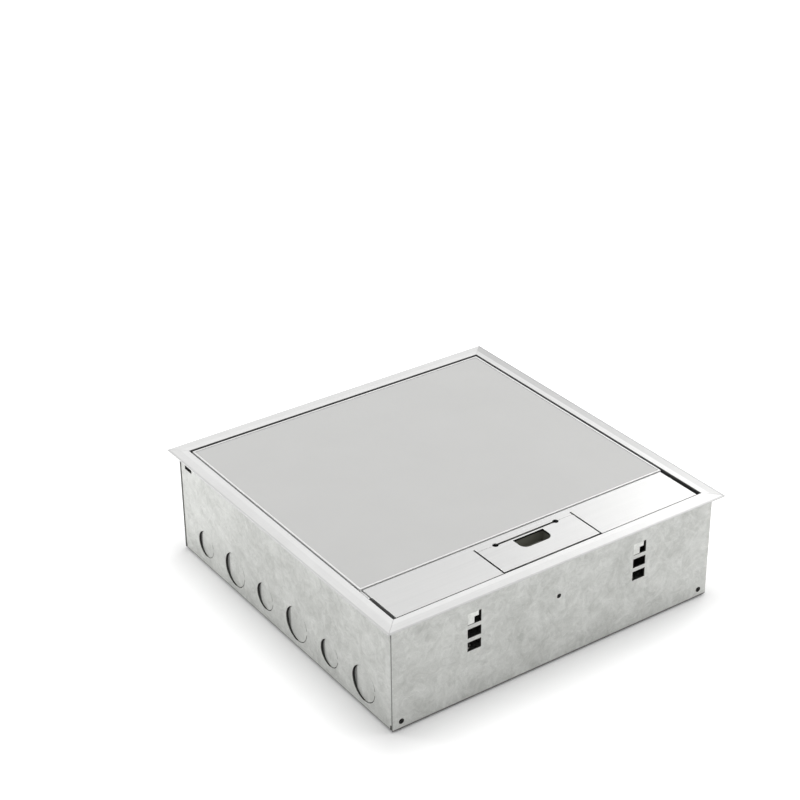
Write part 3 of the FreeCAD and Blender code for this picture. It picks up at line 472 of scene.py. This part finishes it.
def cellular(name, tint):
    """Closed-cell foam: tiny round pores over a dull dark body."""
    material, tree, shader = fresh_material(name)
    coords = object_coords(tree)
    pores = make(tree, "ShaderNodeTexVoronoi", {"Vector": coords, "Scale": 1700.0})
    cloud = noise(tree, coords, 60.0, 3.0)
    tone = calculate(tree, "ADD", spread(tree, pores.outputs["Distance"], 0.0, 0.6, 0.1, 0.7),
                     spread(tree, cloud, 0.0, 0.4, 0.3, 0.7))
    colours = blend_colours(tree, tone, rgba(tint, 0.6), rgba(tint, 1.7))
    tree.links.new(colours, shader.inputs["Base Color"])
    shader.inputs["Roughness"].default_value = 0.9
    relief(tree, shader, pores.outputs["Distance"], 0.5, 0.0003)
    return material


def board(name):
    """Dense wood-fibre board: short crossed fibres."""
    material, tree, shader = fresh_material(name)
    first = noise(tree, object_coords(tree, (260.0, 1400.0, 1400.0)), 1.0, 4.0)
    second = noise(tree, object_coords(tree, (1400.0, 260.0, 1400.0)), 1.0, 4.0)
    tone = calculate(tree, "MULTIPLY", calculate(tree, "ADD", first, second), 0.5)
    colours = blend_colours(tree, spread(tree, tone, 0.0, 1.0, 0.35, 0.65), rgba((0.27, 0.19, 0.11)),
                            rgba((0.42, 0.31, 0.19)))
    tree.links.new(colours, shader.inputs["Base Color"])
    shader.inputs["Roughness"].default_value = 0.8
    relief(tree, shader, tone, 0.2, 0.0001)
    return material


def dress(material, *nodes):
    """Gives a finish to every material slot of these CAD nodes."""
    for name in nodes:
        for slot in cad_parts[name].material_slots:
            slot.material = material


# ------------------------------------------------------------------ mesh helpers

def mesh_piece(name, points, faces, material, body):
    """A mesh object whose place is in its mesh, with a finish, on a CAD body."""
    mesh = bpy.data.meshes.new(name)
    mesh.from_pydata(np.asarray(points, float).tolist(), [], [list(map(int, face)) for face in faces])
    mesh.validate()
    mesh.polygons.foreach_set("use_smooth", np.full(len(mesh.polygons), True))
    mesh.materials.append(material)
    mesh.update()
    piece = bpy.data.objects.new(name, mesh)
    bpy.context.scene.collection.objects.link(piece)
    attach(piece, body)
    return piece


def tube_faces(rings, points):
    """Quads between rings of points, with a face of many corners over each end."""
    ring, point = np.meshgrid(np.arange(rings - 1), np.arange(points), indexing="ij")
    after = ring + 1
    beside = (point + 1) % points
    quads = np.stack([ring * points + point, ring * points + beside, after * points + beside,
                      after * points + point], axis=-1)
    faces = [list(face) for face in quads.reshape(-1, 4)]
    faces.append(list(range(points))[::-1])
    last = (rings - 1) * points
    faces.append([last + index for index in range(points)])
    return faces


def soft_block(low, high, radius, along=40, around=72):
    """A foam strip as a surface of two parameters.
    The first goes round a rounded rectangle in the YZ plane, the second runs from end to end.
    The rectangle shrinks over the last bit at both ends by the radius, as a quarter circle."""
    low = np.asarray(low, float)
    high = np.asarray(high, float)
    angle = np.linspace(0.0, 2.0 * np.pi, around, endpoint=False) + 1e-4
    power = 0.24    # below 1 the circle turns into a rectangle with rounded corners
    round_y = np.sign(np.cos(angle)) * np.abs(np.cos(angle)) ** power
    round_z = np.sign(np.sin(angle)) * np.abs(np.sin(angle)) ** power
    t = np.linspace(0.0, np.pi / 2, 6)
    inset = radius * (1.0 - np.cos(t))[::-1]
    start = low[0] + radius * (1.0 - np.sin(t))[::-1]
    x = np.concatenate([start, np.linspace(low[0] + radius, high[0] - radius, along)[1:-1],
                        (low[0] + high[0]) - start[::-1]])
    shrink = np.concatenate([inset, np.zeros(along - 2), inset[::-1]])
    centre = (low + high) / 2
    half = (high - low) / 2
    rings = np.zeros((len(x), len(angle), 3))
    rings[..., 0] = x[:, None]
    rings[..., 1] = centre[1] + (half[1] - shrink[:, None]) * round_y
    rings[..., 2] = centre[2] + (half[2] - shrink[:, None]) * round_z
    return rings.reshape(-1, 3), tube_faces(len(x), len(angle))


def outward(points, faces):
    """Turns every face round if the closed shell's volume comes out negative."""
    points = np.asarray(points, float)
    volume = 0.0
    for face in faces:
        corner = points[face[0]]
        rest = points[np.asarray(face[1:])]
        volume += np.einsum("ij,ij->", np.cross(rest[:-1], rest[1:]), np.tile(corner, (len(rest) - 1, 1)))
    return faces if volume > 0 else [list(face)[::-1] for face in faces]


def joined(shells):
    """Several shells in one list of points and one of faces."""
    points = []
    faces = []
    count = 0
    for shell_points, shell_faces in shells:
        shell_faces = outward(shell_points, shell_faces)
        points.append(np.asarray(shell_points))
        faces.extend([[index + count for index in face] for face in shell_faces])
        count += len(shell_points)
    return np.concatenate(points), faces


# ------------------------------------------------------------------ operators

def settings(context):
    return context.scene.box_finish, context.scene.box_shape, context.scene.box_stage


class BOX_OT_body(bpy.types.Operator):
    """Galvanised finish of the folded tray and both end walls"""
    bl_idname = "floorbox.body"
    bl_label = "Body"

    def execute(self, context):
        finish = context.scene.box_finish
        shape = context.scene.box_shape
        dress(galvanised("zinc_tray", finish, shape.crystal, 1.0, 1.0, tray_masks), "body_tray")
        dress(galvanised("zinc_front", finish, shape.crystal, 2.0, 0.97, end_wall_masks), "front_wall")
        dress(galvanised("zinc_rear", finish, shape.crystal, 3.0, 0.97, end_wall_masks), "rear_wall")
        return {"FINISHED"}


class BOX_OT_trim(bpy.types.Operator):
    """Satin anodised trim, and the keys, screws and clips behind it"""
    bl_idname = "floorbox.trim"
    bl_label = "Trim"

    def execute(self, context):
        finish = context.scene.box_finish
        tint = finish.trim_colour
        rough = finish.trim_roughness
        # Each side's trim is a lighter or darker copy of one tint: painted light and shade for how the lamps
        # fall on it.
        for side, factor, along, seed, tones in TRIM_PAINTED_LIGHT:
            side_lit_tint = [factor * channel for channel in tint]
            dress(satin_trim("anodised_" + side, side_lit_tint, rough, along, seed, *tones), "trim_" + side)
        plated = brushed("zinc_plate", (0.66, 0.66, 0.64), 0.35, "X", 0.1, 0.95, 0.06, 1.0)
        dress(plated, "trim_corner_keys", "trim_screws", "latch_catch")
        dress(brushed("spring_steel", (0.30, 0.30, 0.31), 0.35, "Y", 0.2, 1.0, 0.08, 1.0), "trim_clips")
        return {"FINISHED"}


class BOX_OT_lid(bpy.types.Operator):
    """Lid tray, cover plate, core, hinge blocks and pins"""
    bl_idname = "floorbox.lid"
    bl_label = "Lid"

    def execute(self, context):
        finish = context.scene.box_finish
        dress(matt_plate("cover_coat", finish.cover_colour), "lid_cover")
        dress(brushed("lid_steel", (0.84, 0.84, 0.835), 0.36, "X", 0.5, 0.35, 0.05), "lid_tray")
        dress(board("fibre_board"), "lid_core")
        dress(moulded("hinge_nylon", (0.05, 0.05, 0.052), 0.5), "lid_hinge_blocks")
        dress(brushed("bright_pin", (0.68, 0.68, 0.67), 0.25, "X", 0.7), "lid_hinge_pins", "flap_hinge_pins")
        return {"FINISHED"}


class BOX_OT_flap(bpy.types.Operator):
    """Brushed cable flap, latch tongue, hook and finger cup"""
    bl_idname = "floorbox.flap"
    bl_label = "Cable flap and latch"

    def execute(self, context):
        finish = context.scene.box_finish
        tint = finish.steel_colour
        rough = finish.steel_roughness
        dress(brushed("flap_steel", tint, rough, "X", 0.4, 1.0, 0.05), "cable_flap")
        tongue = brushed("tongue_steel", tint, rough, "X", 1.4, 1.0, 0.05)
        # Painted shade in the tongue's slits and its rear gap, behind its bright front.
        dark_cuts(tongue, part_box("latch_tongue")[0][1] + TONGUE_FRONT)
        dress(tongue, "latch_tongue")
        dress(brushed("hook_steel", (0.6, 0.6, 0.58), 0.4, "X", 0.8, 0.95, 0.07), "latch_hook")
        dress(moulded("cup_plastic", finish.plastic_dark, 0.55, 900.0, 0.2), "finger_cup")
        return {"FINISHED"}


class BOX_OT_foam(bpy.types.Operator):
    """Foam strips on the ledge and under the cable flap"""
    bl_idname = "floorbox.foam"
    bl_label = "Foam strips"

    def execute(self, context):
        finish = context.scene.box_finish
        shape = context.scene.box_shape
        material = cellular("foam", finish.foam_colour)
        low, high = (np.array(corner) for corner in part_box("flap_pads"))
        inner = low_inner_x("flap_pads")
        pads = []
        for side in (-1, 1):
            ends = sorted((side * inner, side * high[0]))
            pads.append(soft_block((ends[0], low[1], low[2]), (ends[1], high[1], high[2]),
                                   shape.foam_round))
        points, faces = joined(pads)
        piece = mesh_piece("flap_foam_pads", points, faces, material, "flap")
        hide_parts("flap_pads")
        self.seal(shape, material)
        return {"FINISHED"}

    def seal(self, shape, material):
        """Each side has a strip along Y and a shorter one along X that butts against it."""
        low, high = (np.array(corner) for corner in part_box("lid_seal"))
        width = seal_width()
        start = low_inner_x("lid_seal")
        shells = []
        for side in (-1, 1):
            ends = sorted((side * high[0], side * (high[0] - width)))
            points, faces = soft_block((low[1], ends[0], low[2]), (high[1], ends[1], high[2]),
                                       shape.foam_round, 60)
            shells.append((points[:, [1, 0, 2]], faces))
            ends = sorted((side * start, side * (high[0] - width - 0.0001)))
            shells.append(soft_block((ends[0], low[1], low[2]), (ends[1], low[1] + width, high[2]),
                                     shape.foam_round))
        points, faces = joined(shells)
        piece = mesh_piece("seal_foam_strips", points, faces, material, "box")
        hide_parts("lid_seal")


def node_points(name):
    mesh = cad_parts[name].data
    flat = np.zeros(len(mesh.vertices) * 3)
    mesh.vertices.foreach_get("co", flat)
    return flat.reshape(-1, 3)


def low_inner_x(name):
    """Smallest distance of a mirrored pair of solids from the YZ plane."""
    return float(np.abs(node_points(name)[:, 0]).min())


def seal_width():
    """Width of the seal's strips: from their outer faces to the next X in from there."""
    x = np.unique(np.round(np.abs(node_points("lid_seal")[:, 0]), 6))
    return float(x[-1] - x[-2])


class BOX_OT_inside(bpy.types.Operator):
    """Hangers, plates, divider, outlets and their fasteners"""
    bl_idname = "floorbox.inside"
    bl_label = "Inside"

    def execute(self, context):
        finish = context.scene.box_finish
        shape = context.scene.box_shape
        # These pieces get painted shade inside the box; the hangers' factor of 1.25 paints light on their
        # tabs seen through the wall's slots.
        hangers = galvanised("zinc_hangers", finish, shape.crystal, 4.0, 1.25, inner_masks)
        dress(hangers, "front_hangers", "rear_hangers")
        # Painted shade over the plates and divider inside the box.
        plates = galvanised("zinc_plates", finish, shape.crystal, 5.0, 1.0, inner_masks)
        dress(plates, "power_plate", "data_plate", "divider")
        dress(moulded("outlet_white", finish.plastic_white, 0.32), "power_outlet", "data_frame")
        dress(moulded("jack_dark", (0.045, 0.046, 0.05), 0.42), "data_jacks")
        screws = brushed("screw_zinc", (0.70, 0.69, 0.64), 0.3, "X", 0.6, 1.0, 0.08)
        dress(screws, "plate_screws", "outlet_screws")
        dress(brushed("rivet_alu", (0.72, 0.72, 0.72), 0.4, "Y", 0.65), "divider_rivets")
        dress(brushed("brass", finish.brass_colour, 0.3, "Z", 0.2, 1.0, 0.1), "earth_nuts")
        return {"FINISHED"}


class BOX_OT_stud(bpy.types.Operator):
    """Threaded earth stud in place of the plain one"""
    bl_idname = "floorbox.stud"
    bl_label = "Earth stud"

    def execute(self, context):
        finish = context.scene.box_finish
        shape = context.scene.box_shape
        low, high = (np.array(corner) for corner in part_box("earth_stud"))
        points, faces = threaded_rod(low, high, shape.thread_pitch, shape.thread_depth)
        piece = mesh_piece("threaded_earth_stud", points, outward(points, faces),
                           brushed("stud_brass", finish.brass_colour, 0.28, "Z", 0.4, 1.0, 0.1), "box")
        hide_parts("earth_stud")
        return {"FINISHED"}


def threaded_rod(low, high, pitch, depth):
    """A stud as a surface of revolution with a screw ridge.
    Radius over angle and height: the flange's radius below its top, then the stud's radius less the
    depth times a triangle wave of height over pitch less angle over a full turn. The wave fades in over
    the first pitch and out over the last, where the tip also tapers."""
    centre = (low + high) / 2
    flange = (high[0] - low[0]) / 2
    radius = flange / 2
    foot = 0.0008
    height = np.concatenate([[0.0, 0.0, foot * 0.8, foot], np.linspace(foot, high[2] - low[2] - 1e-5, 240),
                             [high[2] - low[2]]])
    angle = np.linspace(0, 2 * np.pi, 28, endpoint=False)
    turn = height[:, None] / pitch - angle[None, :] / (2 * np.pi)
    wave = np.abs(2 * (turn - np.floor(turn)) - 1)
    top = height[-1]
    fade = np.clip((height - foot - pitch) / pitch, 0, 1) * np.clip((top - height) / pitch, 0, 1)
    taper = np.clip((height - (top - depth)) / depth, 0, 1)
    size = radius - depth * wave * fade[:, None] - depth * taper[:, None]
    size[0] = 1e-6
    size[1] = flange
    size[2] = flange
    size[3] = flange - foot * 0.2
    rings = np.stack([centre[0] + size * np.cos(angle), centre[1] + size * np.sin(angle),
                      np.broadcast_to(low[2] + height[:, None], size.shape)], axis=-1)
    return rings.reshape(-1, 3), tube_faces(len(height), len(angle))


class BOX_OT_contacts(bpy.types.Operator):
    """Gold spring contacts in the data jacks"""
    bl_idname = "floorbox.contacts"
    bl_label = "Data contacts"

    def execute(self, context):
        shape = context.scene.box_shape
        shells = []
        for low, high in jack_boxes():
            centre = (low + high) / 2
            steps = np.arange(shape.contact_count) - (shape.contact_count - 1) / 2
            for step in steps:
                x = centre[0] + step * CONTACT_ROW / shape.contact_count
                shells.append(contact_blade(x, centre[1], high[2], shape.contact_width))
        points, faces = joined(shells)
        mesh_piece("data_contacts", points, faces,
                   brushed("gold_contact", (0.86, 0.62, 0.25), 0.22, "Z", 0.4, 1.0, 0.05), "box")
        return {"FINISHED"}


def jack_boxes():
    """Low and high corner of each of the four data jacks, which share the row's length evenly."""
    points = node_points("data_jacks")
    start, end = points[:, 1].min(), points[:, 1].max()
    cell = np.minimum((points[:, 1] - start) * 4 / (end - start), 3.999).astype(int)
    return [(points[cell == index].min(0), points[cell == index].max(0)) for index in range(4)]


def contact_blade(x, y, top, width):
    """A thin wire that comes down the port's side and kinks back up across it.
    Centre line: across the port it moves by a straight ramp, and its height falls along a smooth
    bend; its section is a small flat rectangle."""
    t = np.linspace(0.0, 1.0, 12)
    line_y = y + 0.0036 - 0.0052 * t
    line_z = top - 0.0045 - 0.0062 * t ** 0.6
    thick = 0.00012
    half = width / 2
    corner_x = np.array([-half, half, half, -half])
    corner_z = np.array([-thick, -thick, thick, thick])
    rings = np.stack([np.broadcast_to(x + corner_x, (12, 4)), np.broadcast_to(line_y[:, None], (12, 4)),
                      line_z[:, None] + corner_z[None, :]], axis=-1)
    return rings.reshape(-1, 3), tube_faces(12, 4)


def seen_directly(tree):
    """1 for a ray from the camera or off a glossy or clear surface, otherwise 0."""
    path = make(tree, "ShaderNodeLightPath")
    seen = calculate(tree, "MAXIMUM", path.outputs["Is Camera Ray"], path.outputs["Is Glossy Ray"])
    return calculate(tree, "MAXIMUM", seen, path.outputs["Is Transmission Ray"])


class BOX_OT_stage(bpy.types.Operator):
    """Floor, world, lamps and camera"""
    bl_idname = "floorbox.stage"
    bl_label = "Stage"

    def execute(self, context):
        stage = context.scene.box_stage
        self.floor(stage)
        self.world(context, stage)
        self.top_lamp(stage)
        self.lamp("side_lamp", (1.55, 0.62, 0.95), 1.0, stage.side_power)
        self.lamp("back_lamp", (-0.62, 0.60, 0.26), 0.35, stage.back_power)
        self.lamp("front_lamp", (0.80, -0.62, 0.38), 0.45, stage.front_power)
        self.camera(context, stage)
        context.scene.view_settings.view_transform = "Standard"
        return {"FINISHED"}

    def floor(self, stage):
        """A flat square just under the box: two parameters, both straight."""
        half = stage.floor_size / 2
        u, v = np.meshgrid(np.linspace(-half, half, 9), np.linspace(-half, half, 9), indexing="xy")
        points = np.stack([u.ravel(), v.ravel(), np.full(u.size, cad_low[2] - 0.0002)], axis=-1)
        row, column = np.meshgrid(np.arange(8), np.arange(8), indexing="ij")
        first = (row * 9 + column).ravel()
        faces = np.stack([first, first + 1, first + 10, first + 9], axis=-1)
        mesh = bpy.data.meshes.new("floor")
        mesh.from_pydata(points.tolist(), [], faces.tolist())
        piece = bpy.data.objects.new("floor", mesh)
        bpy.context.scene.collection.objects.link(piece)
        material, tree, shader = fresh_material("floor_paper")
        grain = noise(tree, object_coords(tree), 30.0, 3.0)
        colours = blend_colours(tree, grain, rgba(stage.floor_colour, 0.995),
                                rgba(stage.floor_colour, 1.005))
        tree.links.new(colours, shader.inputs["Base Color"])
        shader.inputs["Roughness"].default_value = 1.0
        shader.inputs["Specular IOR Level"].default_value = 0.0
        shader.inputs["Emission Color"].default_value = (1.0, 1.0, 1.0, 1.0)
        place = place_on_piece(tree)
        gap = []
        for axis in (0, 1):
            away = calculate(tree, "SUBTRACT", size_of(tree, place[axis]), cad_high[0] - SHEET_FACE)
            away = calculate(tree, "MAXIMUM", away, 0.0)
            gap.append(calculate(tree, "MULTIPLY", away, away))
        away = calculate(tree, "SQRT", calculate(tree, "ADD", gap[0], gap[1]), 0.0)
        # The glow falls off towards the box: a painted shadow round its foot.
        glow = spread(tree, away, stage.painted_shadow_glow, stage.floor_glow, 0.0, stage.painted_shadow_reach)
        glow = calculate(tree, "MULTIPLY", seen_directly(tree), glow)
        tree.links.new(glow, shader.inputs["Emission Strength"])
        mesh.materials.append(material)

    def world(self, context, stage):
        """Even light, and plain white where the camera or a mirror sees it."""
        world = bpy.data.worlds.new("studio")
        context.scene.world = world
        world.use_nodes = True
        tree = world.node_tree
        tree.nodes.clear()
        strength = spread(tree, seen_directly(tree), stage.fill, 1.0)
        background = make(tree, "ShaderNodeBackground",
                          {"Color": (1.0, 1.0, 1.0, 1.0), "Strength": strength})
        output = make(tree, "ShaderNodeOutputWorld")
        tree.links.new(background.outputs[0], output.inputs["Surface"])

    def top_lamp(self, stage):
        """A wide sun nearly overhead, for a short soft shadow at the foot of the box."""
        data = bpy.data.lights.new("top_lamp", "SUN")
        data.energy = stage.top_power
        data.angle = math.radians(70)
        lamp = bpy.data.objects.new("top_lamp", data)
        bpy.context.scene.collection.objects.link(lamp)
        lamp.visible_glossy = False
        lamp.rotation_euler = (math.radians(-6), math.radians(10), 0.0)

    def lamp(self, name, place, size, power):
        """A square soft lamp aimed at the middle of the box."""
        data = bpy.data.lights.new(name, "AREA")
        data.shape = "SQUARE"
        data.size = size
        data.energy = power
        lamp = bpy.data.objects.new(name, data)
        bpy.context.scene.collection.objects.link(lamp)
        lamp.location = place
        lamp.visible_camera = False
        lamp.rotation_euler = (-Vector(place)).to_track_quat("-Z", "Y").to_euler()

    def camera(self, context, stage):
        data = bpy.data.cameras.new("camera")
        data.sensor_width = 36.0
        data.lens = stage.lens
        data.clip_start = 0.05
        data.clip_end = 60.0
        camera = bpy.data.objects.new("camera", data)
        context.scene.collection.objects.link(camera)
        az, el, roll = stage.azimuth, stage.elevation, stage.roll
        back = Vector((math.sin(az) * math.cos(el), -math.cos(az) * math.cos(el), math.sin(el)))
        right = Vector((math.cos(az), math.sin(az), 0.0))
        up = back.cross(right)
        across = right * math.cos(roll) + up * math.sin(roll)
        above = up * math.cos(roll) - right * math.sin(roll)
        matrix = Matrix((across, above, back)).transposed().to_4x4()
        matrix.translation = Vector(stage.position)
        camera.matrix_world = matrix
        context.scene.camera = camera


class BOX_PT_panel(bpy.types.Panel):
    """Settings and steps of the floor box"""
    bl_idname = "BOX_PT_panel"
    bl_label = "Floor box"
    bl_space_type = "VIEW_3D"
    bl_region_type = "UI"
    bl_category = "Floor box"

    def draw(self, context):
        layout = self.layout
        for group in settings(context):
            box = layout.box()
            for key in group.__annotations__:
                box.prop(group, key)
        for step in STEPS:
            layout.operator(step.bl_idname)


STEPS = (BOX_OT_body, BOX_OT_trim, BOX_OT_lid, BOX_OT_flap, BOX_OT_foam, BOX_OT_inside, BOX_OT_stud,
         BOX_OT_contacts, BOX_OT_stage)
GROUPS = (("box_finish", FinishSettings), ("box_shape", ShapeSettings), ("box_stage", StageSettings))


def register():
    for name, group in GROUPS:
        bpy.utils.register_class(group)
        setattr(bpy.types.Scene, name, PointerProperty(type=group))
    for step in STEPS:
        bpy.utils.register_class(step)
    bpy.utils.register_class(BOX_PT_panel)


def unregister():
    bpy.utils.unregister_class(BOX_PT_panel)
    for step in reversed(STEPS):
        bpy.utils.unregister_class(step)
    for name, group in reversed(GROUPS):
        delattr(bpy.types.Scene, name)
        bpy.utils.unregister_class(group)


def main():
    """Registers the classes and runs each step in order."""
    register()
    for step in STEPS:
        group, name = step.bl_idname.split(".")
        result = getattr(getattr(bpy.ops, group), name)()
        if "FINISHED" not in result:
            raise RuntimeError(f"{step.bl_label} did not finish")


if __name__ == "__main__":
    main()
